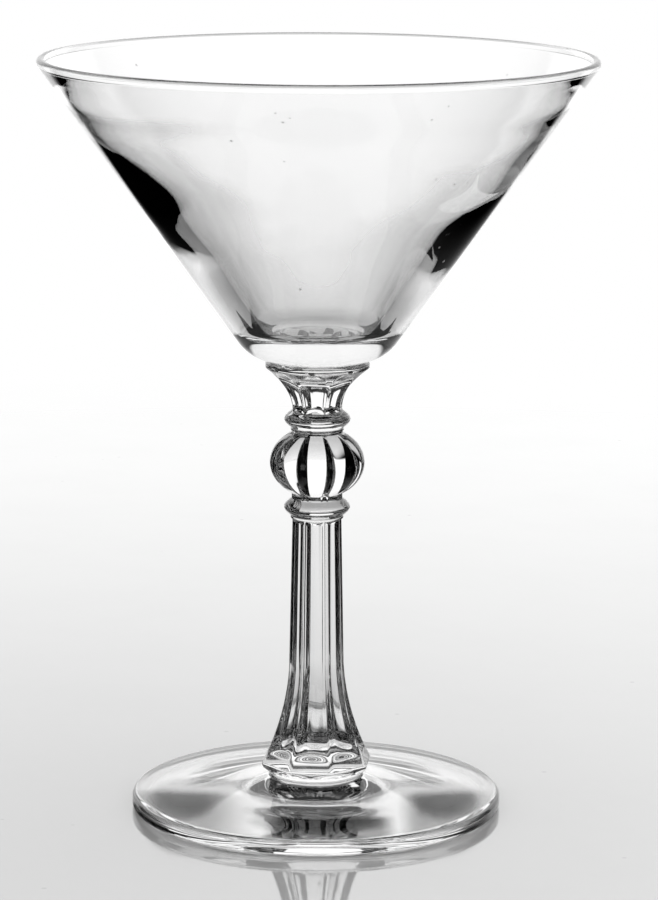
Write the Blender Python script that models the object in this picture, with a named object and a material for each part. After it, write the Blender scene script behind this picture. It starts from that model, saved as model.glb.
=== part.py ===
"""Sherbet glass: a conical blown bowl, a pressed stem with flutes and a melon knop, and a round foot.

Metres, +Z up. The origin is on the axis of the glass, on the plane that its foot stands on.
One flute and one knop lobe face -Y.
"""

import math

import bmesh
import bpy

# Overall sizes
HEIGHT = 0.1400
RIM_DIAMETER = 0.1020
FOOT_DIAMETER = 0.0688

# Clear line at each seat, where the hot pieces are stuck together
SEAT_GAP = 0.0003

# Bowl: a straight cone with a rounded base and a full-round rim; its wall thickens from the rim to the base
BOWL_DEPTH = 0.0557
BOWL_BASE_DIAMETER = 0.0240
BOWL_RIM_WALL = 0.0016
BOWL_BASE_WALL = 0.0051
BOWL_FLOOR = 0.0066
BOWL_UNDER_RADIUS = 0.0090
BOWL_INSIDE_RADIUS = 0.0045

# Foot: a disc that rises to a boss under the stem, hollowed beneath
FOOT_EDGE = 0.0029
FOOT_EDGE_RADIUS = 0.0010
FOOT_BOSS_HEIGHT = 0.0060
FOOT_FALL = 0.0065
FOOT_REST_WIDTH = 0.0030
FOOT_HOLLOW = 0.0026

# Stem, measured over the arrises between its flutes. A share is a depth for each unit of radius
FLUTES = 8
FLUTE_SHARE = 0.18
NECK_DIAMETER = 0.0094
CAPITAL_DIAMETER = 0.0192
CAPITAL_HEIGHT = 0.0089
CAPITAL_BAND = 0.0008
CAPITAL_EDGE_RADIUS = 0.0003
CAPITAL_ARCH = 0.0034
COLLAR_DIAMETER = 0.0122
COLLAR_HEIGHT = 0.0032
STEP_DIAMETER = 0.0098
STEP_HEIGHT = 0.0005
UPPER_NECK = 0.0009
LOWER_NECK = 0.0010
KNOP_DIAMETER = 0.0175
KNOP_HEIGHT = 0.0114
KNOP_GROOVE = 0.0008
COLUMN_TAPER = 0.0205
COLUMN_RUNOUT = 0.0009
FLARE_HEIGHT = 0.0195
BEAD_DIAMETER = 0.0210
BEAD_HEIGHT = 0.0015
BEAD_FACET_SHARE = 0.085
BEAD_FACET_HEIGHT = 0.0018
BEAD_FACET_END = 0.0012
FLUTE_RUNOUT = 0.0013
WAIST_DIAMETER = 0.0170
WAIST_LENGTH = 0.0007

# Fineness of the facets
FACETS_PER_FLUTE = 8
SEGMENTS = FLUTES * FACETS_PER_FLUTE
ARC_STEPS = 5
SHARP_ANGLE = math.radians(40)

# Heights of the seats
STEM_FOOT = FOOT_BOSS_HEIGHT + SEAT_GAP
BOWL_SEAT = HEIGHT - BOWL_DEPTH
STEM_TOP = BOWL_SEAT - SEAT_GAP

# Clear glass as the photograph shows it: colourless, polished
GLASS_COLOUR = (0.92, 0.94, 0.93, 1.0)
GLASS_ROUGHNESS = 0.03


def clear_scene():
    for thing in list(bpy.data.objects):
        bpy.data.objects.remove(thing, do_unlink=True)


def glass(name):
    """Colourless polished glass."""
    material = bpy.data.materials.new(name)
    material.use_nodes = True
    shader = material.node_tree.nodes["Principled BSDF"]
    shader.inputs["Base Color"].default_value = GLASS_COLOUR
    shader.inputs["Roughness"].default_value = GLASS_ROUGHNESS
    shader.inputs["Metallic"].default_value = 0.0
    shader.inputs["Transmission Weight"].default_value = 1.0
    return material


def spread(start, end, steps):
    """Evenly spaced values from start to end, both included."""
    return [start + (end - start) * step / steps for step in range(steps + 1)]


def arc(centre, radius, start, end, steps=ARC_STEPS):
    """Points of an arc in the plane of radius and height, from one angle to another in radians."""
    return [
        (centre[0] + radius * math.cos(angle), centre[1] + radius * math.sin(angle))
        for angle in spread(start, end, steps)
    ]


def finish_piece(name, shape):
    """Makes the shape an object with its faces outward, smooth but for its true corners."""
    bmesh.ops.recalc_face_normals(shape, faces=shape.faces)
    mesh = bpy.data.meshes.new(name)
    shape.to_mesh(mesh)
    shape.free()
    mesh.shade_smooth()
    mesh.set_sharp_from_angle(angle=SHARP_ANGLE)
    mesh.materials.append(glass(f"{name}_glass"))
    piece = bpy.data.objects.new(name, mesh)
    bpy.context.collection.objects.link(piece)
    return piece


def turned(name, outline):
    """A solid turned round the axis from an outline that starts and ends on it."""
    shape = bmesh.new()
    points = [shape.verts.new((radius, 0, height)) for radius, height in outline]
    lines = [shape.edges.new(pair) for pair in zip(points, points[1:])]
    bmesh.ops.spin(
        shape,
        geom=points + lines,
        cent=(0, 0, 0),
        axis=(0, 0, 1),
        angle=math.tau,
        steps=SEGMENTS,
        use_merge=True,
    )
    bmesh.ops.remove_doubles(shape, verts=shape.verts, dist=1e-6)
    return finish_piece(name, shape)


def lofted(name, stations):
    """A solid through fluted rings, from its foot up. A station is (height, radius, scoop, groove, lift)."""
    shape = bmesh.new()
    rings = [fluted_ring(shape, *station) for station in stations]
    for lower, upper in zip(rings, rings[1:]):
        for index in range(SEGMENTS):
            shape.faces.new((lower[index - 1], lower[index], upper[index], upper[index - 1]))
    shape.faces.new(rings[0])
    shape.faces.new(rings[-1])
    return finish_piece(name, shape)


def fluted_ring(shape, height, radius, scoop=0.0, groove=0.0, lift=0.0):
    """One ring: a scoop hollows each flute, a lift makes it end in an arch, a groove cuts in between the lobes."""
    points = []
    for index in range(SEGMENTS):
        across = abs((index / FACETS_PER_FLUTE + 0.5) % 1 - 0.5) * 2
        here = radius - max(0, scoop * (1 - across**2) - lift) - groove * across**4
        angle = math.tau * index / SEGMENTS - math.pi / 2
        points.append(shape.verts.new((here * math.cos(angle), here * math.sin(angle), height)))
    return points


def wall_lean(start, rim, rim_round):
    """Angle of a wall line from a point at the base to the round rim, which it touches on its inner side."""
    across = rim[0] - start[0]
    up = rim[1] - start[1]
    return math.atan2(up, across) + math.asin(rim_round / math.hypot(across, up))


def bowl():
    """The bowl: both wall lines touch the round rim, and they part towards the thick base."""
    rim_round = BOWL_RIM_WALL / 2
    base = BOWL_BASE_DIAMETER / 2
    rim = (RIM_DIAMETER / 2 - rim_round, HEIGHT - rim_round)
    outer_lean = wall_lean((base, BOWL_SEAT), rim, -rim_round)
    inner_foot = (
        base - BOWL_BASE_WALL * math.sin(outer_lean),
        BOWL_SEAT + BOWL_BASE_WALL * math.cos(outer_lean),
    )
    inner_lean = wall_lean(inner_foot, rim, rim_round)
    floor = BOWL_SEAT + BOWL_FLOOR
    floor_corner = inner_foot[0] + (floor - inner_foot[1]) / math.tan(inner_lean)
    inside = (floor_corner - BOWL_INSIDE_RADIUS * math.tan(inner_lean / 2), floor + BOWL_INSIDE_RADIUS)
    under = (base - BOWL_UNDER_RADIUS * math.tan(outer_lean / 2), BOWL_SEAT + BOWL_UNDER_RADIUS)
    outward = outer_lean - math.pi / 2
    inward = inner_lean - math.pi / 2
    outline = [(0, floor)]
    outline += arc(inside, BOWL_INSIDE_RADIUS, -math.pi / 2, inward)
    outline += arc(rim, rim_round, inward + math.pi, outward, 2 * ARC_STEPS)
    outline += arc(under, BOWL_UNDER_RADIUS, outward, -math.pi / 2)
    outline += [(0, BOWL_SEAT)]
    return turned("bowl", outline)


def foot():
    """The foot: its top falls away from the boss in one sweep and its edge is rounded over."""
    boss = WAIST_DIAMETER / 2
    edge = FOOT_DIAMETER / 2 - FOOT_EDGE_RADIUS
    rise = FOOT_BOSS_HEIGHT - FOOT_EDGE
    outline = [(0, FOOT_BOSS_HEIGHT)]
    for radius in spread(boss, edge, 2 * ARC_STEPS):
        outline.append((radius, FOOT_EDGE + rise * math.exp((boss - radius) / FOOT_FALL)))
    outline += arc((edge, FOOT_EDGE - FOOT_EDGE_RADIUS), FOOT_EDGE_RADIUS, math.radians(70), 0)
    outline += arc((edge, FOOT_EDGE_RADIUS), FOOT_EDGE_RADIUS, 0, -math.pi / 2)
    hollow = edge - FOOT_REST_WIDTH
    for radius in spread(hollow, 0, ARC_STEPS):
        outline.append((radius, FOOT_HOLLOW * (1 - (radius / hollow) ** 2)))
    return turned("foot", outline)


def ring_section(bottom, height, proud):
    """A plain round ring that swells out of the neck and back into it."""
    return [
        (bottom + height * angle / math.pi, NECK_DIAMETER / 2 + proud * math.sin(angle))
        for angle in spread(0, math.pi, 2 * ARC_STEPS - 2)
    ]


def base_and_column(top):
    """The waist, the bead with a facet below each flute, and the column, which flares into the bead."""
    bead = STEM_FOOT + WAIST_LENGTH + BEAD_HEIGHT
    waist = WAIST_DIAMETER / 2
    wide = BEAD_DIAMETER / 2

    def column_at(height):
        return NECK_DIAMETER / 2 + COLUMN_TAPER * (top - height)

    def radius_at(height):
        flare = max(0, bead + FLARE_HEIGHT - height) / FLARE_HEIGHT
        return column_at(height) + (wide - column_at(bead)) * flare**2

    def scoop_at(height):
        flute = min(1, max(0, height - bead - BEAD_FACET_HEIGHT) / FLUTE_RUNOUT)
        return radius_at(height) * (BEAD_FACET_SHARE + (FLUTE_SHARE - BEAD_FACET_SHARE) * flute)

    stations = [(STEM_FOOT, waist)]
    for angle in spread(0, math.pi / 2, ARC_STEPS)[:-1]:
        drop = BEAD_HEIGHT * math.cos(angle)
        facet = math.sqrt(max(0, 1 - (drop / BEAD_FACET_END) ** 2))
        radius = waist + (wide - waist) * math.sin(angle)
        stations.append((bead - drop, radius, BEAD_FACET_SHARE * radius * facet))
    facet_top = bead + BEAD_FACET_HEIGHT
    heights = spread(bead, facet_top, 2)
    heights += spread(facet_top + FLUTE_RUNOUT, bead + FLARE_HEIGHT, 2 * ARC_STEPS - 2)
    heights += [top - COLUMN_RUNOUT]
    stations += [(height, radius_at(height), scoop_at(height)) for height in heights]
    return stations + [(top, column_at(top))]


def knop(bottom):
    """The melon knop: an ellipse between two necks, with a narrow groove between each two lobes."""
    widest = KNOP_DIAMETER / 2
    neck = NECK_DIAMETER / 2
    cut = math.acos(neck / widest)
    half = KNOP_HEIGHT / 2 / math.sin(cut)
    stations = []
    for angle in spread(-cut, cut, 2 * ARC_STEPS):
        radius = widest * math.cos(angle)
        groove = min(KNOP_GROOVE, radius - neck)
        stations.append((bottom + KNOP_HEIGHT / 2 + half * math.sin(angle), radius, 0, groove))
    return stations


def capital(bottom):
    """The capital under the bowl: a fluted bell whose flutes end in arches below a plain round band."""
    neck = NECK_DIAMETER / 2
    wide = CAPITAL_DIAMETER / 2
    bell = CAPITAL_HEIGHT - CAPITAL_BAND
    stations = [(bottom, neck)]
    for rise in spread(0, bell, ARC_STEPS + 2)[1:]:
        radius = neck + (wide - neck) * (rise / bell) ** 2
        scoop = FLUTE_SHARE * radius
        arch = max(0, rise - bell + CAPITAL_ARCH) / CAPITAL_ARCH
        stations.append((bottom + rise, radius, scoop, 0, scoop * arch**2))
    edge = (wide - CAPITAL_EDGE_RADIUS, STEM_TOP - CAPITAL_EDGE_RADIUS)
    rounded = arc(edge, CAPITAL_EDGE_RADIUS, 0, math.pi / 2, ARC_STEPS // 2)
    return stations + [(height, radius) for radius, height in rounded]


def step_section(bottom):
    """A thin square ring beside a collar."""
    wide = STEP_DIAMETER / 2
    return [(bottom, wide), (bottom + STEP_HEIGHT, wide)]


def stem():
    """The pressed stem, stacked from the foot up: column, collar, knop, collar, capital."""
    proud = (COLLAR_DIAMETER - NECK_DIAMETER) / 2
    capital_foot = STEM_TOP - CAPITAL_HEIGHT
    upper_collar = capital_foot - COLLAR_HEIGHT
    upper_step = upper_collar - STEP_HEIGHT
    knop_foot = upper_collar - UPPER_NECK - KNOP_HEIGHT
    lower_collar = knop_foot - LOWER_NECK - COLLAR_HEIGHT
    lower_step = lower_collar - STEP_HEIGHT
    stations = base_and_column(lower_step)
    stations += step_section(lower_step)
    stations += ring_section(lower_collar, COLLAR_HEIGHT, proud)
    stations += knop(knop_foot)
    stations += step_section(upper_step)
    stations += ring_section(upper_collar, COLLAR_HEIGHT, proud)
    stations += capital(capital_foot)[1:]
    return lofted("stem", stations)


clear_scene()
bowl()
stem()
foot()
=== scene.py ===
"""Looks of a sherbet glass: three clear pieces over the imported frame, on a white sheet in soft light."""

import logging
import math
from dataclasses import dataclass, field
from enum import Enum
from typing import Any

import bpy
from mathutils import Euler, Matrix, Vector


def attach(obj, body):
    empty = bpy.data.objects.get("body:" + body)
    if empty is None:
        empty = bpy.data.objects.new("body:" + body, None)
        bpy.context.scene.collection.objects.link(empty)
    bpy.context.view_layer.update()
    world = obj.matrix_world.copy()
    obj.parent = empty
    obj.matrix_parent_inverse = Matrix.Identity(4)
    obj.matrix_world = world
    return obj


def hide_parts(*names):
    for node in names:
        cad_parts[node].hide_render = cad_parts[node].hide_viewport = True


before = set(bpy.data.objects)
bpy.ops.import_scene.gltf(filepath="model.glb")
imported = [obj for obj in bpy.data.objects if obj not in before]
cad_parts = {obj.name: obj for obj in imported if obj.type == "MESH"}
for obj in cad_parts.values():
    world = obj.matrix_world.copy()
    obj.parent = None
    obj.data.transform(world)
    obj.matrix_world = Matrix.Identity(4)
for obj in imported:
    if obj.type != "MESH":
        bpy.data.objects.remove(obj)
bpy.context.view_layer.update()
MM = 0.001
ROUND = 256
MERGE_DISTANCE = 1e-7
SEAM_SLACK = 0.002
AXIS_SLACK = 0.01
SEEN_FROM = 231.0
DARKNESS = 0.001
UPWARD = (0.0, 0.0, 1.0)
FIRST_CHANNEL = (1.0, 0.0, 0.0)
log = logging.getLogger("sherbet_glass")

Point = tuple[float, float]
Colour = tuple[float, float, float, float]


class Signal:
    """A number inside a node tree; arithmetic on it adds Math nodes."""

    def __init__(self, bench: "Bench", socket: bpy.types.NodeSocket) -> None:
        """Keeps the bench and the socket that carries the number."""
        self.bench = bench
        self.socket = socket

    def maths(self, operation: str, *others: "Signal | float", reflected: bool = False) -> "Signal":
        """Adds one Math node.

        Args:
            operation: The Math node's operation.
            others: The numbers that it takes besides this one.
            reflected: True if this number comes second.

        Returns:
            The result as a new signal.
        """
        terms = [*others, self] if reflected else [self, *others]
        node = self.bench.add("ShaderNodeMath", {"operation": operation}, dict(enumerate(terms)))
        return Signal(self.bench, node.outputs[0])

    def __add__(self, other: "Signal | float") -> "Signal":
        """Adds a number."""
        return self.maths("ADD", other)

    __radd__ = __add__

    def __sub__(self, other: "Signal | float") -> "Signal":
        """Takes a number away."""
        return self.maths("SUBTRACT", other)

    def __rsub__(self, other: float) -> "Signal":
        """Takes this number away from a plain one."""
        return self.maths("SUBTRACT", other, reflected=True)

    def __mul__(self, other: "Signal | float") -> "Signal":
        """Multiplies by a number."""
        return self.maths("MULTIPLY", other)

    __rmul__ = __mul__

    def __truediv__(self, other: "Signal | float") -> "Signal":
        """Divides by a number."""
        return self.maths("DIVIDE", other)

    def __pow__(self, other: float) -> "Signal":
        """Raises to a power."""
        return self.maths("POWER", other)

    def above(self, other: "Signal | float") -> "Signal":
        """The larger of this number and another."""
        return self.maths("MAXIMUM", other)

    def below(self, other: "Signal | float") -> "Signal":
        """The smaller of this number and another."""
        return self.maths("MINIMUM", other)

    def size(self) -> "Signal":
        """This number without its sign."""
        return self.maths("ABSOLUTE")

    def ramp(self, start: float, end: float) -> "Signal":
        """Eases from 0 to 1 as this number goes from start to end.

        Args:
            start: Where the ease starts; it may be above end.
            end: Where it ends.

        Returns:
            The eased signal.
        """
        falling = start > end
        values = {"Value": self, "From Min": min(start, end), "From Max": max(start, end)}
        values |= {"To Min": 1.0 if falling else 0.0, "To Max": 0.0 if falling else 1.0}
        node = self.bench.add("ShaderNodeMapRange", {"interpolation_type": "SMOOTHSTEP"}, values)
        return Signal(self.bench, node.outputs["Result"])


class Bench:
    """A node tree to which nodes are added."""

    def __init__(self, tree: bpy.types.NodeTree) -> None:
        """Empties the tree and keeps it."""
        tree.nodes.clear()
        self.tree = tree

    def add(self, kind: str, settings: dict | None = None, sockets: dict | None = None) -> bpy.types.Node:
        """Adds a node.

        Args:
            kind: The node's type.
            settings: Its own settings, set before its sockets.
            sockets: A value, socket or signal for each input, by its name or number.

        Returns:
            The new node.
        """
        node = self.tree.nodes.new(kind)
        for name, value in (settings or {}).items():
            setattr(node, name, value)
        for name, value in (sockets or {}).items():
            source = value.socket if isinstance(value, Signal) else value
            if isinstance(source, bpy.types.NodeSocket):
                self.tree.links.new(source, node.inputs[name])
            else:
                node.inputs[name].default_value = source
        return node

    def along(self, place: bpy.types.NodeSocket, axis: tuple[float, float, float] | Vector) -> Signal:
        """How far a vector reaches along an axis."""
        node = self.add("ShaderNodeVectorMath", {"operation": "DOT_PRODUCT"}, {0: place, 1: tuple(axis)})
        return Signal(self, node.outputs["Value"])

    def noise(self, place: bpy.types.NodeSocket, size: float, detail: float) -> Signal:
        """A soft uneven pattern."""
        node = self.add("ShaderNodeTexNoise", None, {"Vector": place, "Scale": size, "Detail": detail})
        return Signal(self, node.outputs[0])

    def specks(self, place: bpy.types.NodeSocket, size: float, edge: Point, share: Point) -> Signal:
        """Round specks in a few cells of a pattern.

        Args:
            place: The place on the surface.
            size: How many cells there are to a metre.
            edge: Where a speck's edge starts and ends, in cells from its middle.
            share: The share of cells without and with a whole speck.

        Returns:
            1 on a speck, 0 beside it.
        """
        cells = self.add("ShaderNodeTexVoronoi", None, {"Vector": place, "Scale": size})
        chance = self.along(cells.outputs["Color"], FIRST_CHANNEL)
        return Signal(self, cells.outputs["Distance"]).ramp(*edge) * chance.ramp(*share)

    def blend(self, factor: Signal, first: Any, second: Any) -> bpy.types.NodeSocket:
        """Mixes two colours by a factor."""
        node = self.add("ShaderNodeMix", {"data_type": "RGBA"}, {0: factor, 6: first, 7: second})
        return node.outputs[2]

    def mix(self, factor: Signal, first: bpy.types.Node, second: bpy.types.Node) -> bpy.types.Node:
        """Mixes two shaders by a factor."""
        return self.add("ShaderNodeMixShader", None, {0: factor, 1: first.outputs[0], 2: second.outputs[0]})

    def surface(self, shader: bpy.types.Node) -> None:
        """Ends the tree with a shader."""
        self.add("ShaderNodeOutputMaterial", None, {"Surface": shader.outputs[0]})


class RayPath:
    """What a node tree knows of the ray that it is seen by."""

    def __init__(self, bench: Bench) -> None:
        """Adds the node that tells."""
        self.bench = bench
        self.node = bench.add("ShaderNodeLightPath")

    def tells(self, output: str) -> Signal:
        """One of its facts or counts."""
        return Signal(self.bench, self.node.outputs[output])

    def by_glass(self) -> Signal:
        """1 for a ray that glass or gloss has just bent or mirrored."""
        return self.tells("Is Glossy Ray").above(self.tells("Is Transmission Ray"))


def grey(level: float) -> Colour:
    """A grey of one level."""
    return (level, level, level, 1.0)


def new_material(name: str) -> tuple[bpy.types.Material, Bench]:
    """Starts a material.

    Args:
        name: Its name.

    Returns:
        The material and the empty bench that it is made on.
    """
    material = bpy.data.materials.new(name)
    material.use_nodes = True
    return material, Bench(material.node_tree)


def spread(start: float, end: float, steps: int) -> list[float]:
    """Evenly spaced values from start to end, both included."""
    return [start + (end - start) * step / steps for step in range(steps + 1)]


def ease(value: float) -> float:
    """Eases from 0 to 1 as the value does."""
    held = min(1.0, max(0.0, value))
    return held * held * (3 - 2 * held)


def arc(centre: Point, radius: float, start: float, end: float, steps: int) -> list[Point]:
    """Points of an arc in the plane of radius and height.

    Args:
        centre: Its centre.
        radius: Its radius.
        start: Its first angle in degrees.
        end: Its last angle in degrees.
        steps: How many parts it has.

    Returns:
        The points, both ends included.
    """
    turns = [math.radians(angle) for angle in spread(start, end, steps)]
    return [(centre[0] + radius * math.cos(turn), centre[1] + radius * math.sin(turn)) for turn in turns]


def turned(name: str, outline: list[Point]) -> bpy.types.Object:
    """Turns an outline round the axis, as on a lathe.

    Args:
        name: The piece's name.
        outline: Radius and height of each point in millimetres, from the axis back to the axis.

    Returns:
        The closed piece, with its faces outward.
    """
    bpy.ops.object.select_all(action="DESELECT")
    bpy.ops.mesh.primitive_plane_add(size=MM)
    piece = bpy.context.object
    piece.name = piece.data.name = name
    bpy.ops.object.mode_set(mode="EDIT")
    bpy.ops.mesh.select_all(action="SELECT")
    bpy.ops.mesh.merge(type="CENTER")
    bpy.ops.transform.translate(value=(outline[0][0] * MM, 0, outline[0][1] * MM))
    for (radius, height), (next_radius, next_height) in zip(outline, outline[1:]):
        step = ((next_radius - radius) * MM, 0, (next_height - height) * MM)
        bpy.ops.mesh.extrude_region_move(TRANSFORM_OT_translate={"value": step})
    bpy.ops.mesh.select_all(action="SELECT")
    bpy.ops.mesh.spin(steps=ROUND, angle=math.tau, center=(0, 0, 0), axis=(0, 0, 1))
    bpy.ops.mesh.select_all(action="SELECT")
    bpy.ops.mesh.remove_doubles(threshold=MERGE_DISTANCE)
    bpy.ops.mesh.normals_make_consistent(inside=False)
    bpy.ops.object.mode_set(mode="OBJECT")
    return piece


class Seam(Enum):
    """Where two pieces are stuck together hot: radius and height of the seam's edge, in millimetres."""

    BOWL_TO_STEM = (7.366, 84.3)
    STEM_TO_FOOT = (9.0, 5.771)

    @property
    def radius(self) -> float:
        """Radius of the seam."""
        return self.value[0]

    @property
    def height(self) -> float:
        """Height of the seam."""
        return self.value[1]


@dataclass(frozen=True)
class FusedSeam:
    """The inside of a hot seam: glass runs on through it, so nothing shows there."""

    name: str = "fused_seam"

    def material(self) -> bpy.types.Material:
        """Makes a material that lets everything through, once for all seams.

        Returns:
            The finished material.
        """
        made = bpy.data.materials.get(self.name)
        if made:
            return made
        material, bench = new_material(self.name)
        bench.surface(bench.add("ShaderNodeBsdfTransparent"))
        return material

    def close(self, piece: bpy.types.Object, seams: list[Seam]) -> None:
        """Gives a piece's seam faces this material.

        Args:
            piece: The piece, whose first material is its glass.
            seams: The seams that it has.
        """
        piece.data.materials.append(self.material())
        for face in piece.data.polygons:
            spot = face.center / MM
            for seam in seams:
                if abs(spot.z - seam.height) < SEAM_SLACK and spot.xy.length < seam.radius:
                    face.material_index = 1


@dataclass(frozen=True)
class ClearGlass:
    """Colourless soda glass: slightly uneven, with a thin film and a few specks of dust on it."""

    name: str
    bend: float = 1.52
    tint: Colour = grey(0.99)
    # Below deep_from the tint turns to deep_tint by deep_to; on the bowl this darkens the glass towards the
    # bottom, painted shade partly for the thicker glass there.
    deep_tint: Colour = grey(0.9)
    deep_from: float = 0.0
    deep_to: float = 0.0
    ripple_size: float = 90.0
    ripple: float = 0.02
    ripple_height: float = 0.002
    film_size: float = 140.0
    film_range: Point = (0.62, 0.8)
    film_roughness: float = 0.02
    speck_size: float = 420.0
    speck_share: float = 0.02
    speck_soft: float = 0.005
    speck_edge: Point = (0.16, 0.08)
    speck_tint: Colour = grey(0.25)
    speck_cover: float = 0.7
    speck_roughness: float = 0.3

    def material(self) -> bpy.types.Material:
        """Makes the glass.

        Returns:
            The finished material.
        """
        material, bench = new_material(self.name)
        place = bench.add("ShaderNodeTexCoord").outputs["Object"]
        deep = bench.along(place, UPWARD).ramp(self.deep_from * MM, self.deep_to * MM)
        share = (self.speck_share, self.speck_share - self.speck_soft)
        speck = bench.specks(place, self.speck_size, self.speck_edge, share)
        film = bench.noise(place, self.film_size, detail=4.0).ramp(*self.film_range)
        colour = bench.blend(deep, self.tint, self.deep_tint)
        colour = bench.blend(speck * self.speck_cover, colour, self.speck_tint)
        wave = bench.noise(place, self.ripple_size, detail=1.0)
        uneven = {"Strength": self.ripple, "Distance": self.ripple_height, "Height": wave}
        roughness = film * self.film_roughness + speck * self.speck_roughness
        values = {"Base Color": colour, "Roughness": roughness, "IOR": self.bend, "Transmission Weight": 1.0}
        values["Normal"] = bench.add("ShaderNodeBump", None, uneven).outputs[0]
        bench.surface(bench.add("ShaderNodeBsdfPrincipled", None, values))
        return material


@dataclass(frozen=True)
class Swell:
    """A thicker or thinner place in a blown wall: where it is, how far it reaches and how much it adds."""

    azimuth: float
    height: float
    reach_round: float
    reach_up: float
    depth: float

    def at(self, azimuth: float, height: float) -> float:
        """How much it adds to the wall at an azimuth in degrees and a height in millimetres.

        Args:
            azimuth: The azimuth.
            height: The height.

        Returns:
            The added thickness in millimetres.
        """
        turn = (azimuth - self.azimuth + 180) % 360 - 180
        rise = height - self.height
        return self.depth * math.exp(-((turn / self.reach_round) ** 2) - (rise / self.reach_up) ** 2)


@dataclass
class Bowl:
    """The blown bowl: a straight cone whose wall thickens from the rim to a solid base."""

    height: float = 140.0
    rim_radius: float = 51.0
    rim_round: float = 0.8
    rim_bead: float = 0.45
    bead_from: float = 0.76
    bead_blend: float = 0.2
    bead_top: float = 0.986
    seat: float = 84.3
    base_radius: float = 12.0
    base_wall: float = 5.1
    floor: float = 6.6
    under_radius: float = 9.0
    inside_radius: float = 4.5
    outer_slope: float = 0.7136
    even_skin: float = 1.3
    even_skin_blend: float = 0.4
    even_rim: float = 2.0
    even_rim_blend: float = 6.0
    even_middle: float = 1.0
    floor_slack: float = 0.01
    swells: list[Swell] = field(default_factory=list)
    # Painted shade, partly for the thicker glass: the bowl's tint darkens from 135 mm down to 88 mm.
    finish: ClearGlass = ClearGlass("blown_glass", deep_from=135.0, deep_to=88.0)

    def outline(self) -> list[Point]:
        """The section from the middle of the floor over the rim to the middle of the seat.

        Returns:
            The points in millimetres.
        """
        rim = (self.rim_radius - self.rim_round, self.height - self.rim_round)
        across, up = rim[0] - self.base_radius, rim[1] - self.seat
        lean = math.atan2(up, across) - math.asin(self.rim_round / math.hypot(across, up))
        wall = self.base_wall
        start = (self.base_radius - wall * math.sin(lean), self.seat + wall * math.cos(lean))
        across, up = rim[0] - start[0], rim[1] - start[1]
        inner_lean = math.atan2(up, across) + math.asin(self.rim_round / math.hypot(across, up))
        floor = self.seat + self.floor
        corner = start[0] + (floor - start[1]) / math.tan(inner_lean)
        inside = (corner - self.inside_radius * math.tan(inner_lean / 2), floor + self.inside_radius)
        under = (self.base_radius - self.under_radius * math.tan(lean / 2), self.seat + self.under_radius)
        outward, inward = math.degrees(lean) - 90, math.degrees(inner_lean) - 90
        round_in = math.degrees(math.acos(1 - self.rim_bead / self.rim_round))
        side = arc(rim, self.rim_round, inward + 180, inward + 180, steps=1)[0]
        top = arc(rim, self.rim_round, inward + 180 + round_in, outward, steps=40)
        fillet = arc(inside, self.inside_radius, -90, inward, steps=14)
        outer_foot = arc(under, self.under_radius, outward, -90, steps=22)
        points = [(radius, floor) for radius in spread(0, inside[0], steps=4)[:-1]] + fillet
        points += self.inner_wall(fillet[-1], side, inner_lean) + top
        points += self.outer_wall(top[-1], outer_foot[0]) + outer_foot
        return points + [(Seam.BOWL_TO_STEM.radius / 2, self.seat), (0, self.seat)]

    def inner_wall(self, start: Point, end: Point, lean: float) -> list[Point]:
        """Points along the inside, which draws back under the rim so that the rim stands proud as a bead.

        Args:
            start: Where the wall starts.
            end: Where it would meet the rim.
            lean: Its lean in radians.

        Returns:
            The points in millimetres.
        """
        points = []
        for share in [*spread(0, 1, steps=44)[1:-1], self.bead_top]:
            thin = self.rim_bead * ease((share - self.bead_from) / self.bead_blend)
            radius = start[0] + (end[0] - start[0]) * share + thin * math.sin(lean)
            points.append((radius, start[1] + (end[1] - start[1]) * share - thin * math.cos(lean)))
        return points

    def outer_wall(self, start: Point, end: Point) -> list[Point]:
        """Points along the straight outside, without its ends."""
        return list(zip(spread(start[0], end[0], steps=36), spread(start[1], end[1], steps=36)))[1:-1]

    def build(self) -> bpy.types.Object:
        """Turns the bowl and makes its inside uneven, as blown glass is.

        Returns:
            The finished piece.
        """
        piece = turned("bowl_glass", self.outline())
        lowest = self.seat + self.floor - self.floor_slack
        for vertex in piece.data.vertices:
            x, y, height = vertex.co / MM
            radius = math.hypot(x, y)
            outer = self.base_radius + (height - self.seat) * self.outer_slope
            inside = ease((outer - radius - self.even_skin) / self.even_skin_blend)
            inside *= ease((self.height - self.even_rim - height) / self.even_rim_blend)
            if inside <= 0 or height < lowest or radius < self.even_middle:
                continue
            azimuth = math.degrees(math.atan2(y, x))
            thicker = inside * sum(swell.at(azimuth, height) for swell in self.swells)
            vertex.co.x -= thicker * x / radius * MM
            vertex.co.y -= thicker * y / radius * MM
        bpy.ops.object.shade_smooth()
        return piece

    def dress(self, piece: bpy.types.Object) -> None:
        """Gives the bowl its glass and puts it on the frame.

        Args:
            piece: The bowl.
        """
        piece.data.materials.append(self.finish.material())
        FusedSeam().close(piece, [Seam.BOWL_TO_STEM])
        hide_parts("bowl")
        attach(piece, "root")


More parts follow.
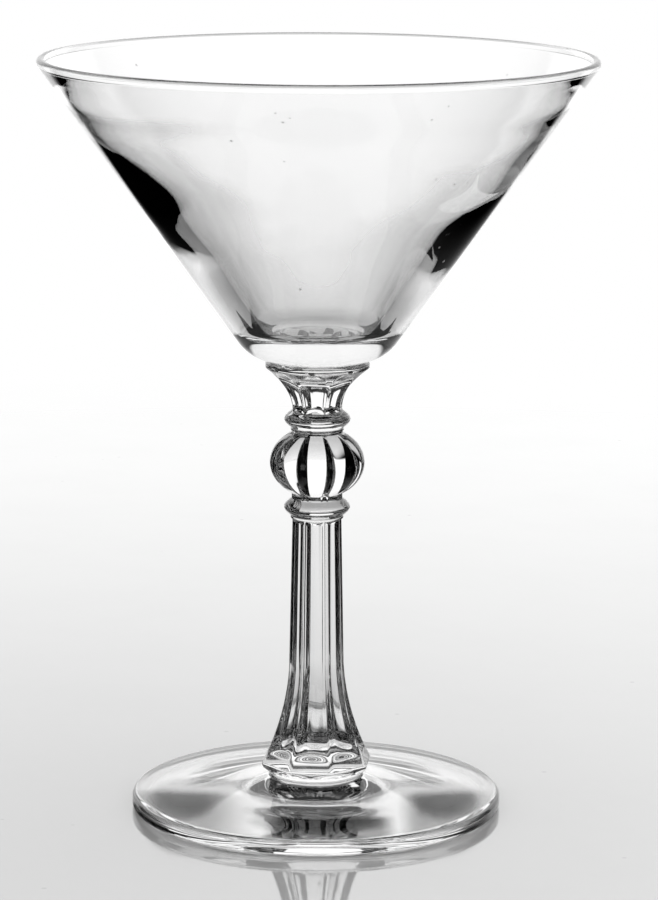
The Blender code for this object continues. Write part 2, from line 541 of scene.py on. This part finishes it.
@dataclass
class Stem:
    """The pressed stem, measured over the arrises: bead, fluted column, collars, melon knop and capital."""

    flutes: int = 8
    flute_share: float = 0.18
    arris_share: float = 0.14
    arris_closeness: float = 0.5
    neck: float = 4.7
    bead_line: float = 8.5
    bead_radius: float = 10.5
    waist_radius: float = 8.5
    waist_top: float = 7.0
    waist_height: float = 0.2
    facet_share: float = 0.085
    facet_end: float = 1.2
    facet_top: float = 10.3
    flute_start: float = 11.6
    flare_height: float = 19.5
    column_top: float = 54.9
    column_runout: float = 0.9
    taper: float = 0.0205
    step_radius: float = 4.9
    step_height: float = 0.5
    collar_radius: float = 6.1
    collar_height: float = 3.2
    knop_foot: float = 59.6
    knop_height: float = 11.4
    knop_radius: float = 8.75
    knop_groove: float = 0.75
    upper_step: float = 71.4
    capital_foot: float = 75.1
    capital_height: float = 8.9
    capital_radius: float = 9.6
    capital_band: float = 0.8
    capital_edge: float = 0.3
    capital_arch: float = 3.4
    capital_runout: float = 0.8
    weld_width: float = 0.4
    weld_rise: float = 0.08
    corner: float = 0.12
    sharp_angle: float = 50.0
    finish: ClearGlass = ClearGlass("pressed_glass", ripple_size=140.0, ripple=0.012, speck_share=0.02)

    @property
    def bell(self) -> float:
        """Height of the capital below its plain band."""
        return self.capital_height - self.capital_band

    def column_radius(self, height: float) -> float:
        """Radius of the column and of the flare that it ends in below.

        Args:
            height: The height.

        Returns:
            The radius in millimetres.
        """
        straight = self.neck + self.taper * (self.column_top - height)
        at_bead = self.neck + self.taper * (self.column_top - self.bead_line)
        flare = max(0.0, self.bead_line + self.flare_height - height) / self.flare_height
        return straight + (self.bead_radius - at_bead) * flare**2

    def base(self) -> list[Point]:
        """The weld to the foot, the waist, the bead and the column up to the lower collar.

        Returns:
            The points in millimetres.
        """
        seam = Seam.STEM_TO_FOOT
        lift = self.waist_top - self.waist_height - seam.height
        points = [(0, seam.height), (seam.radius / 2, seam.height)]
        for turn in spread(0, math.pi / 2, steps=8):
            flare = (seam.radius - self.waist_radius) * (1 - math.sin(turn))
            points.append((self.waist_radius + flare, seam.height + lift * (1 - math.cos(turn))))
        for turn in spread(0, math.pi / 2, steps=14)[:-1]:
            out = (self.bead_radius - self.waist_radius) * math.sin(turn)
            drop = (self.bead_line - self.waist_top) * math.cos(turn)
            points.append((self.waist_radius + out, self.bead_line - drop))
        flare_top, runout = self.bead_line + self.flare_height, self.column_top - self.column_runout
        heights = spread(self.bead_line, self.facet_top, steps=8)
        heights += spread(self.facet_top, self.flute_start, steps=10)[1:]
        heights += spread(self.flute_start, flare_top, steps=30)[1:]
        heights += spread(flare_top, runout, steps=16)[1:]
        heights += spread(runout, self.column_top, steps=8)[1:]
        return points + [(self.column_radius(height), height) for height in heights]

    def step(self, bottom: float) -> list[Point]:
        """A thin square ring with slightly rounded corners.

        Args:
            bottom: Its lowest height.

        Returns:
            The points in millimetres.
        """
        low, high = bottom + self.corner, bottom + self.step_height - self.corner
        radius = self.step_radius - self.corner
        lower = arc((radius, low), self.corner, -90, 0, steps=4)
        return lower + arc((radius, high), self.corner, 0, 90, steps=4)

    def collar(self, bottom: float) -> list[Point]:
        """A plain half-round ring.

        Args:
            bottom: Its lowest height.

        Returns:
            The points in millimetres.
        """
        proud = self.collar_radius - self.neck
        turns = spread(0, math.pi, steps=24)
        rise = self.collar_height / math.pi
        return [(self.neck + proud * math.sin(turn), bottom + rise * turn) for turn in turns]

    def knop(self) -> list[Point]:
        """The melon knop before its grooves are pressed.

        Returns:
            The points in millimetres.
        """
        cut = math.acos(self.neck / self.knop_radius)
        half = self.knop_height / 2 / math.sin(cut)
        middle = self.knop_foot + self.knop_height / 2
        turns = spread(-cut, cut, steps=40)
        return [(self.knop_radius * math.cos(turn), middle + half * math.sin(turn)) for turn in turns]

    def capital(self) -> list[Point]:
        """The bell under the bowl, its plain band and the seam on top.

        Returns:
            The points in millimetres.
        """
        seam = Seam.BOWL_TO_STEM
        top = self.capital_foot + self.capital_height
        points = []
        for rise in spread(0, self.bell, steps=30)[1:]:
            out = (self.capital_radius - self.neck) * (rise / self.bell) ** 2
            points.append((self.neck + out, self.capital_foot + rise))
        edge = (self.capital_radius - self.capital_edge, top - self.capital_edge)
        points += arc(edge, self.capital_edge, 0, 90, steps=8)
        points.append((seam.radius + self.weld_width, top + self.weld_rise))
        return points + [(seam.radius * share, seam.height) for share in (1, 0.5, 0)]

    def outline(self) -> list[Point]:
        """The section over the arrises, from the foot up.

        Returns:
            The points in millimetres.
        """
        lower_collar = self.column_top + self.step_height
        upper_collar = self.upper_step + self.step_height
        points = self.base() + self.step(self.column_top) + self.collar(lower_collar) + self.knop()
        return points + self.step(self.upper_step) + self.collar(upper_collar) + self.capital()

    def hollow_share(self, height: float) -> float:
        """How deep the flutes and the facets under them are.

        Args:
            height: The height in millimetres.

        Returns:
            The depth for each unit of radius.
        """
        if height < self.bead_line:
            drop = (self.bead_line - height) / self.facet_end
            return self.facet_share * math.sqrt(max(0.0, 1 - drop**2))
        if height < self.column_top:
            flute = ease((height - self.facet_top) / (self.flute_start - self.facet_top))
            end = (self.column_top - height) / self.column_runout
            fade = math.sqrt(max(0.0, 1 - (1 - min(1.0, end)) ** 2))
            return (self.facet_share + (self.flute_share - self.facet_share) * flute) * fade
        rise = height - self.capital_foot
        return self.flute_share * ease(rise / self.capital_runout) if 0 < rise < self.bell else 0.0

    def pressed(self, radius: float, across: float, height: float) -> float:
        """The radius after pressing.

        Args:
            radius: The radius over the arrises.
            across: 0 in the middle of a flute, 1 on an arris.
            height: The height in millimetres.

        Returns:
            The new radius.
        """
        soft = 1 - self.arris_share
        curve = across**2 if across < soft else soft - soft / self.arris_share * (1 - across) ** 2
        deep = radius * self.hollow_share(height)
        arch = self.capital_foot + self.bell - self.capital_arch
        lift = deep * (max(0.0, height - arch) / self.capital_arch) ** 2
        hollow = max(0.0, deep * (soft - curve) - lift)
        groove = 0.0
        if self.knop_foot < height < self.knop_foot + self.knop_height:
            groove = min(self.knop_groove * across**4, radius - self.neck)
        return radius - hollow - groove

    def build(self) -> bpy.types.Object:
        """Turns the blank and presses its flutes, facets and lobes; rounded arrises get closer lines.

        Returns:
            The finished piece.
        """
        piece = turned("stem_glass", self.outline())
        pitch = math.tau / self.flutes
        for vertex in piece.data.vertices:
            x, y, height = vertex.co / MM
            radius = math.hypot(x, y)
            if radius < AXIS_SLACK:
                continue
            turn = (math.atan2(y, x) + math.pi / 2) / pitch
            side = (turn + 0.5) % 1 * 2 - 1
            closer = side + self.arris_closeness / math.pi * math.sin(math.pi * side)
            angle = (turn + (closer - side) / 2) * pitch - math.pi / 2
            here = self.pressed(radius, abs(closer), height) * MM
            vertex.co.x, vertex.co.y = here * math.cos(angle), here * math.sin(angle)
        bpy.ops.object.shade_smooth_by_angle(angle=math.radians(self.sharp_angle))
        return piece

    def dress(self, piece: bpy.types.Object) -> None:
        """Gives the stem its glass and puts it on the frame.

        Args:
            piece: The stem.
        """
        piece.data.materials.append(self.finish.material())
        FusedSeam().close(piece, list(Seam))
        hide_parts("stem")
        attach(piece, "root")


@dataclass
class Foot:
    """The round foot: it falls from a boss to a rounded edge and is a little hollow beneath."""

    radius: float = 34.4
    edge: float = 2.9
    edge_round: float = 1.0
    edge_blend: float = 0.2
    edge_start: float = 78.0
    boss_radius: float = 8.5
    boss_height: float = 6.0
    fall: float = 6.5
    rest_width: float = 3.0
    hollow: float = 2.6
    finish: ClearGlass = ClearGlass("foot_glass", ripple_size=70.0, ripple=0.015, speck_share=0.03)

    def top(self, radius: float) -> float:
        """Height of the top at a radius."""
        return self.edge + (self.boss_height - self.edge) * math.exp((self.boss_radius - radius) / self.fall)

    def outline(self) -> list[Point]:
        """The section from the middle of the seam over the edge to the middle of the hollow.

        Returns:
            The points in millimetres.
        """
        seam = Seam.STEM_TO_FOOT
        edge = self.radius - self.edge_round
        rest = edge - self.rest_width
        points = [(0, seam.height), (seam.radius / 2, seam.height)]
        over = spread(seam.radius, edge - self.edge_blend, steps=44)
        points += [(radius, self.top(radius)) for radius in over]
        points += arc((edge, self.edge - self.edge_round), self.edge_round, self.edge_start, 0, steps=12)
        points += arc((edge, self.edge_round), self.edge_round, 0, -90, steps=14)
        points += [(radius, 0) for radius in spread(edge, rest, steps=3)[1:-1]]
        under = spread(rest, 0, steps=32)
        return points + [(radius, self.hollow * ease((rest - radius) / rest)) for radius in under]

    def build(self) -> bpy.types.Object:
        """Turns the foot.

        Returns:
            The finished piece.
        """
        piece = turned("foot_glass", self.outline())
        bpy.ops.object.shade_smooth()
        return piece

    def dress(self, piece: bpy.types.Object) -> None:
        """Gives the foot its glass and puts it on the frame.

        Args:
            piece: The foot.
        """
        piece.data.materials.append(self.finish.material())
        FusedSeam().close(piece, [Seam.STEM_TO_FOOT])
        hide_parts("foot")
        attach(piece, "root")


@dataclass
class Viewpoint:
    """The camera, at the angle the glass is seen from."""

    azimuth: float = SEEN_FROM
    distance: float = 0.6894
    height: float = 0.205
    pitch: float = 11.275
    yaw: float = -0.18
    roll: float = 0.25
    lens: float = 152.54

    def build(self) -> None:
        """Adds the camera and makes it the scene's own."""
        turn = math.radians(self.azimuth)
        data = bpy.data.cameras.new("viewpoint")
        data.lens = self.lens
        camera = bpy.data.objects.new("viewpoint", data)
        bpy.context.collection.objects.link(camera)
        camera.location = (self.distance * math.sin(turn), -self.distance * math.cos(turn), self.height)
        aim = Euler((math.radians(90 - self.pitch), 0, turn + math.radians(self.yaw)), "XYZ").to_matrix()
        tilt = Euler((0, 0, math.radians(self.roll)), "XYZ").to_matrix()
        camera.rotation_euler = (aim @ tilt).to_euler()
        bpy.context.scene.camera = camera


def stage_axes(azimuth: float) -> tuple[Vector, Vector]:
    """The forward and rightward axes of what is seen from an azimuth."""
    turn = math.radians(azimuth)
    return Vector((-math.sin(turn), math.cos(turn), 0)), Vector((math.cos(turn), math.sin(turn), 0))


@dataclass(frozen=True)
class Panel:
    """A bright backdrop: the azimuth it is seen from, its angles to each side and up, and its strength."""

    azimuth: float
    left: float
    right: float
    top: float
    strength: float = 1.0
    soft: float = 4.0
    top_soft: float = 0.1

    def brightness(self, bench: Bench, way: bpy.types.NodeSocket) -> Signal:
        """How bright it is in a direction.

        Args:
            bench: The node tree that it is worked out in.
            way: The direction.

        Returns:
            The brightness.
        """
        forward, right = stage_axes(self.azimuth)
        angle = bench.along(way, right).maths("ARCTAN2", bench.along(way, forward)) * (180 / math.pi)
        inside = angle.ramp(self.right + self.soft, self.right)
        inside *= angle.ramp(-self.left - self.soft, -self.left)
        top = math.sin(math.radians(self.top))
        return inside * bench.along(way, UPWARD).ramp(top + self.top_soft, top) * self.strength


class Shown(Enum):
    """How the glass shows a card: through itself or mirrored on itself."""

    THROUGH = "through"
    MIRRORED = "mirrored"


@dataclass(frozen=True)
class Card:
    """A small flag or reflector beside the glass: its extent across, ahead and up in metres, and its glow."""

    name: str
    across: Point
    ahead: Point
    up: Point
    glow: float = 0.0
    shown: Shown = Shown.THROUGH
    fibre_size: float = 400.0
    oval_soft: Point = (1.0, 0.25)
    facing: Point = (0.5, 0.6)

    def oval(self, bench: Bench, place: bpy.types.NodeSocket, azimuth: float) -> Signal:
        """A soft oval mask over the card.

        Args:
            bench: The node tree that it is worked out in.
            place: The place on the card.
            azimuth: The azimuth that the glass is seen from.

        Returns:
            1 in the middle, 0 beyond the oval and on the card's back.
        """
        forward, right = stage_axes(azimuth)
        aside = bench.along(place, right) - sum(self.across) / 2
        above = bench.along(place, UPWARD) - sum(self.up) / 2
        wide, high = (self.across[1] - self.across[0]) / 2, (self.up[1] - self.up[0]) / 2
        normal = bench.add("ShaderNodeNewGeometry").outputs["Normal"]
        front = bench.along(normal, -forward).ramp(*self.facing)
        return ((aside / wide) ** 2 + (above / high) ** 2).ramp(*self.oval_soft) * front

    def material(self, azimuth: float) -> bpy.types.Material:
        """Matt card, a little uneven: black, or white and lit if it glows; a mirrored one is a soft oval.

        Args:
            azimuth: The azimuth that the glass is seen from.

        Returns:
            The finished material.
        """
        material, bench = new_material(self.name)
        place = bench.add("ShaderNodeTexCoord").outputs["Object"]
        fibre = bench.noise(place, self.fibre_size, detail=2.0)
        colour = bench.blend(fibre, grey(0.0005), grey(0.002))
        glow = bench.blend(fibre, grey(1.0), grey(0.94))
        values = {"Base Color": colour, "Roughness": 1.0, "Specular IOR Level": 0.0}
        values |= {"Emission Color": glow, "Emission Strength": self.glow}
        if self.shown is Shown.MIRRORED:
            values["Alpha"] = self.oval(bench, place, azimuth)
        bench.surface(bench.add("ShaderNodeBsdfPrincipled", None, values))
        return material

    def build(self, azimuth: float) -> None:
        """Stands the card up; only the glass shows it.

        Args:
            azimuth: The azimuth that the glass is seen from.
        """
        spans = [end - start for start, end in (self.across, self.ahead, self.up)]
        middle = [(start + end) / 2 for start, end in (self.across, self.ahead, self.up)]
        bpy.ops.object.select_all(action="DESELECT")
        bpy.ops.mesh.primitive_cube_add(size=1)
        card = bpy.context.object
        card.name = self.name
        bpy.ops.transform.resize(value=spans)
        bpy.ops.transform.translate(value=middle)
        bpy.ops.transform.rotate(value=math.radians(-azimuth), orient_axis="Z", center_override=(0, 0, 0))
        bpy.ops.object.transform_apply(location=True, rotation=True, scale=True)
        card.visible_camera = card.visible_diffuse = card.visible_shadow = False
        card.visible_glossy = self.shown is Shown.MIRRORED
        card.visible_transmission = self.shown is Shown.THROUGH
        card.data.materials.append(self.material(azimuth))


@dataclass(frozen=True)
class Shade:
    """A painted shadow on the sheet under the foot, a soft dark patch: extent, softness left, right and at
    the ends, depth.
    """

    across: Point
    ahead: Point
    soft: tuple[float, float, float]
    depth: float

    def cover(self, across: Signal, ahead: Signal) -> Signal:
        """How dark the painted shadow is at a place.

        Args:
            across: How far to the right the place is.
            ahead: How far ahead it is.

        Returns:
            0 outside it, up to its depth inside.
        """
        left, right, end = self.soft
        inside = across.ramp(self.across[0] - left, self.across[0])
        inside *= across.ramp(self.across[1] + right, self.across[1])
        inside *= ahead.ramp(self.ahead[0] - end, self.ahead[0])
        return inside * ahead.ramp(self.ahead[1] + end, self.ahead[1]) * self.depth


@dataclass(frozen=True)
class WhiteSheet:
    """The glossy white sheet on the floor, a little dusty, with painted shade round the glass and painted
    light to the front and right; to the glass it is painted dark beyond its edges and under the foot.
    """

    end: float = 0.36
    end_soft: float = 0.12
    left: float = 0.035
    right: float = 0.04
    side_soft: float = 0.085
    side_spread: float = 0.083
    near_end: Point = (-0.08, -0.06)
    # Painted shade round the glass: middle near it, outside farther out, over the radii outward. Painted
    # light to the front: front over the span frontward.
    middle: Colour = grey(0.36)
    outside: Colour = grey(0.8)
    outward: Point = (-0.1, 0.4)
    front: Colour = grey(0.85)
    frontward: Point = (-0.07, -0.25)
    # Painted light: the right side of the sheet is painted lighter by this share, over the span sideward.
    painted_side_light: float = 0.2
    sideward: Point = (-0.1, 0.1)
    soil: Colour = grey(0.3)
    stain_size: float = 35.0
    stain_range: Point = (0.3, 0.8)
    stain_cover: float = 0.06
    speck_size: float = 180.0
    speck_edge: Point = (0.12, 0.05)
    speck_share: Point = (0.06, 0.05)
    speck_cover: float = 0.35
    polish: float = 0.68
    polish_radius: float = 0.036
    polish_soft: float = 0.01
    # Painted shadows under the foot, seen only through the glass, lie within this radius.
    painted_shadow_radius: float = 0.038
    painted_shadow_soft: float = 0.002
    painted_shadows: tuple[Shade, ...] = (
        Shade((-0.04, -0.022), (-0.04, -0.003), (0.003, 0.012, 0.006), 0.95),
        Shade((0.0195, 0.029), (-0.04, -0.003), (0.005, 0.006, 0.007), 0.95),
        Shade((-0.006, 0.0115), (-0.04, -0.018), (0.004, 0.004, 0.005), 1.0),
        Shade((-0.006, 0.008), (-0.001, 0.007), (0.005, 0.005, 0.005), 0.7),
    )

    def lit(self, across: Signal, ahead: Signal, direct: Signal) -> Signal:
        """Where the sheet is lit on its way to the backdrop.

        Args:
            across: How far to the right the place is.
            ahead: How far ahead it is.
            direct: 1 if the glass shows the floor without mirroring it; the near end is lit then too.

        Returns:
            1 on the sheet, 0 beyond its edges.
        """
        wider = ahead.above(0) * self.side_spread
        inside = (across - wider).ramp(self.right + self.side_soft, self.right)
        inside *= (across + wider).ramp(-self.left - self.side_soft, -self.left)
        return inside * ahead.ramp(*self.near_end).above(direct)

    def material(self, azimuth: float) -> bpy.types.Material:
        """Makes the sheet.

        Args:
            azimuth: The azimuth that the glass is seen from.

        Returns:
            The finished material.
        """
        material, bench = new_material("white_sheet")
        place = bench.add("ShaderNodeTexCoord").outputs["Object"]
        path = RayPath(bench)
        ahead, across = [bench.along(place, axis) for axis in stage_axes(azimuth)]
        length = bench.add("ShaderNodeVectorMath", {"operation": "LENGTH"}, {0: place})
        flat = Signal(bench, length.outputs["Value"])
        speck = bench.specks(place, self.speck_size, self.speck_edge, self.speck_share)
        stain = bench.noise(place, self.stain_size, detail=3.0)
        # Painted shade round the glass, painted light to the front and on the right side.
        colour = bench.blend(flat.ramp(*self.outward), self.middle, self.outside)
        colour = bench.blend(ahead.ramp(*self.frontward), colour, self.front)
        colour = bench.blend(across.ramp(*self.sideward) * self.painted_side_light, colour, grey(1.0))
        colour = bench.blend(stain.ramp(*self.stain_range) * self.stain_cover, colour, self.soil)
        colour = bench.blend(speck * self.speck_cover, colour, self.soil)
        coat = {"Coat Weight": 1.0, "Coat Roughness": 0.04}
        values = {"Base Color": colour, "Roughness": 0.06, "IOR": 1.5, **coat}
        white = bench.add("ShaderNodeBsdfPrincipled", None, values)
        shine = bench.blend(stain, grey(0.95), grey(0.88))
        values = {"Base Color": shine, "Metallic": 1.0, "Roughness": 0.03}
        polished = bench.add("ShaderNodeBsdfPrincipled", None, values)
        # Near-black sheet for painted shade, seen only through the glass.
        painted_dark = bench.add("ShaderNodeBsdfDiffuse", None, {"Color": grey(DARKNESS)})
        clear = bench.add("ShaderNodeBsdfTransparent")
        seen = path.by_glass()
        # Painted shade: to the glass the sheet is near black beyond its lit part and in the painted shadows
        # under the foot.
        painted_dark_cover = 1 - self.lit(across, ahead, 1 - path.tells("Glossy Depth").below(1))
        under = flat.ramp(self.painted_shadow_radius, self.painted_shadow_radius - self.painted_shadow_soft)
        for shade in self.painted_shadows:
            painted_dark_cover = painted_dark_cover.above(shade.cover(across, ahead) * under)
        close = flat.ramp(self.polish_radius, self.polish_radius - self.polish_soft)
        top = bench.mix(seen * close * self.polish, white, polished)
        top = bench.mix(seen * painted_dark_cover, top, painted_dark)
        bench.surface(bench.mix(flat.ramp(self.end, self.end + self.end_soft), top, clear))
        return material


@dataclass
class Studio:
    """A white sheet in front of a white backdrop, plain soft light from all round and dark sides."""

    level: float = 0.95
    side_light: float = 0.03
    side_from: float = 18.0
    side_soft: float = 0.2
    floor_radius: float = 0.62
    floor_gap: float = 0.0001
    few_passes: int = 3
    sheet: WhiteSheet = WhiteSheet()
    backdrop: Panel = Panel(SEEN_FROM, 36.0, 40.0, 34.0, 1.15, 8.0)
    around: tuple[Panel, ...] = tuple(Panel(side, 24.0, 24.0, 34.0, 1.05, 8.0) for side in (0.0, 45.0, 90.0))
    mirrored: tuple[Panel, ...] = (
        Panel(0.0, 14.0, 14.0, 8.0),
        Panel(45.0, 14.0, 14.0, 32.0),
        Panel(90.0, 14.0, 14.0, 8.0),
    )
    cards: tuple[Card, ...] = (
        Card("left_flag", (-0.051, -0.049), (-0.12, 0.06), (0.0, 0.036)),
        Card("right_flag", (0.049, 0.051), (-0.12, 0.098), (0.0, 0.036)),
        Card("left_knop_flag", (-0.03, -0.0056), (0.021, 0.022), (0.052, 0.074)),
        Card("right_knop_flag", (0.0021, 0.03), (0.021, 0.022), (0.052, 0.074)),
        Card("white_card", (0.049, 0.051), (0.004, 0.045), (0.061, 0.086), 1.0),
        Card("left_oval", (-0.0345, -0.013), (0.0355, 0.0365), (0.0105, 0.0222), shown=Shown.MIRRORED),
        Card("right_oval", (0.0125, 0.0335), (0.0355, 0.0365), (0.0105, 0.0222), shown=Shown.MIRRORED),
        Card("front_oval", (-0.0135, 0.0145), (-0.0125, -0.0115), (0.0049, 0.0092), shown=Shown.MIRRORED),
    )

    def sky(self) -> None:
        """Sets the world: white to the camera, even to what it lights, panels and darkness to the glass."""
        world = bpy.data.worlds.new("studio")
        bpy.context.scene.world = world
        world.use_nodes = True
        world.cycles.sampling_method = "NONE"
        bench = Bench(world.node_tree)
        way = bench.add("ShaderNodeTexCoord").outputs["Generated"]
        path = RayPath(bench)
        bright = self.backdrop.brightness(bench, way)
        for panel in self.mirrored:
            bright = bright.above(panel.brightness(bench, way) * path.tells("Is Reflection Ray"))
        direct = self.passed_straight(path)
        for panel in self.around:
            bright = bright.above(panel.brightness(bench, way) * direct)
        edge = math.sin(math.radians(self.side_from))
        side = bench.along(way, UPWARD).ramp(edge, edge + self.side_soft)
        bright = bright.above(side * self.side_light)
        seen = path.by_glass() * (1 - path.tells("Diffuse Depth").below(1))
        light = bright.above(DARKNESS) * seen + (1 - seen) * self.level
        strength = light.above(path.tells("Is Camera Ray"))
        shader = bench.add("ShaderNodeBackground", None, {"Color": grey(1.0), "Strength": strength})
        bench.add("ShaderNodeOutputWorld", None, {"Surface": shader.outputs[0]})

    def passed_straight(self, path: RayPath) -> Signal:
        """Which rays see the panels around the glass.

        Args:
            path: What is known of the ray.

        Returns:
            1 for a ray that was never mirrored, or once and passed more than a few faces; 0 for others.
        """
        turns, passes = path.tells("Glossy Depth"), path.tells("Transmission Depth")
        once = (1 - (turns - 1).size()).above(0) * (passes - self.few_passes).above(0).below(1)
        return (1 - turns.below(1)).above(once)

    def floor(self) -> None:
        """Lays the floor."""
        bpy.ops.object.select_all(action="DESELECT")
        bpy.ops.mesh.primitive_circle_add(vertices=128, radius=self.floor_radius, fill_type="NGON")
        floor = bpy.context.object
        floor.name = "floor"
        bpy.ops.object.mode_set(mode="EDIT")
        bpy.ops.mesh.select_all(action="SELECT")
        bpy.ops.mesh.inset(thickness=self.floor_radius / 2)
        bpy.ops.object.mode_set(mode="OBJECT")
        bpy.ops.transform.translate(value=(0, 0, -self.floor_gap))
        floor.data.materials.append(self.sheet.material(self.backdrop.azimuth))

    def build(self) -> None:
        """Sets up the light, the floor, the cards and how far light is followed through glass."""
        self.sky()
        self.floor()
        for card in self.cards:
            card.build(self.backdrop.azimuth)
        scene = bpy.context.scene
        scene.view_settings.view_transform = "Standard"
        scene.cycles.max_bounces = 24
        scene.cycles.transmission_bounces = 24
        scene.cycles.glossy_bounces = 16
        scene.cycles.transparent_max_bounces = 32


def uneven_wall(view: Viewpoint) -> list[Swell]:
    """The thick and thin places of this bowl's wall, set out from the side it is seen from.

    Args:
        view: The camera, whose azimuth they are counted from.

    Returns:
        The places.
    """
    front = view.azimuth - 90
    heights = (133.0, 127.0, 121.5, 116.0, 110.5, 105.0, 99.5, 94.0)
    sides = {
        front - 90: (-0.46, -0.74, -0.45, 0.47, 0.17, 0.47, 0.22, 0.15),
        front + 90: (-0.51, -0.73, -0.41, -0.88, 0.17, 0.19, 0.38, -0.01),
    }
    return [
        Swell(side, height, reach_round=52.2, reach_up=5.5, depth=depth)
        for side, depths in sides.items()
        for height, depth in zip(heights, depths)
    ]


def main() -> None:
    """Builds the studio, the camera and the three pieces in order."""
    logging.basicConfig(level=logging.INFO, format="%(name)s: %(message)s")
    view = Viewpoint()
    view.build()
    Studio().build()
    for part in (Bowl(swells=uneven_wall(view)), Stem(), Foot()):
        piece = part.build()
        part.dress(piece)
        log.info("%s: %d faces", piece.name, len(piece.data.polygons))


if __name__ == "__main__":
    main()
